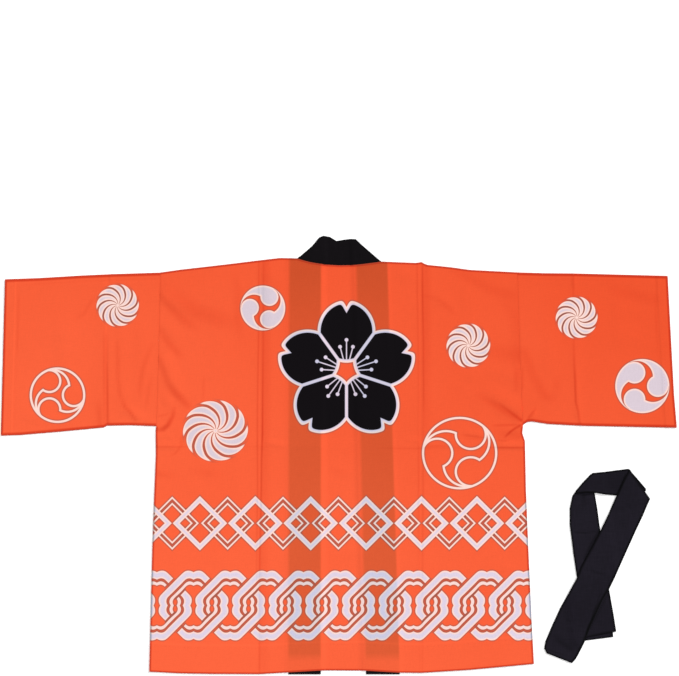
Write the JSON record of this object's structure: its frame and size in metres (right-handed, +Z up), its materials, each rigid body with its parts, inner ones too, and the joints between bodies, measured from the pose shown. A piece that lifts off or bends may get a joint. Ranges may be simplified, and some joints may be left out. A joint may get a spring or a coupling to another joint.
{
  "type": "happi coat with belt",
  "caption": "Short straight-cut festival coat laid flat with its back up, wide square sleeves pressed flat, a black collar band down the fronts, and its folded cloth belt beside it.",
  "frame": {"origin": "middle of the laid-out coat's outline, on the surface that it lies on", "axes": "+X from the wearer's left cuff to the right one, +Y from hem to neck, +Z up from the surface, towards the coat's back"},
  "size_m": [1.264, 0.819, 0.0047],
  "materials": {
    "printed_cotton": "plain-weave cotton dyed orange, printed in white and black",
    "collar_cotton": "black plain-weave cotton, folded double",
    "belt_cotton": "black plain-weave cotton tape, laid double"
  },
  "bodies": {
    "root": {"back": "printed_cotton", "front_left": "printed_cotton", "front_right": "printed_cotton", "sleeve_left": "printed_cotton", "sleeve_right": "printed_cotton", "collar_front_left": "collar_cotton", "collar_front_right": "collar_cotton", "collar_back": "collar_cotton", "belt_under": "belt_cotton", "belt_top": "belt_cotton", "belt_over": "belt_cotton"}
  },
  "joints": []
}
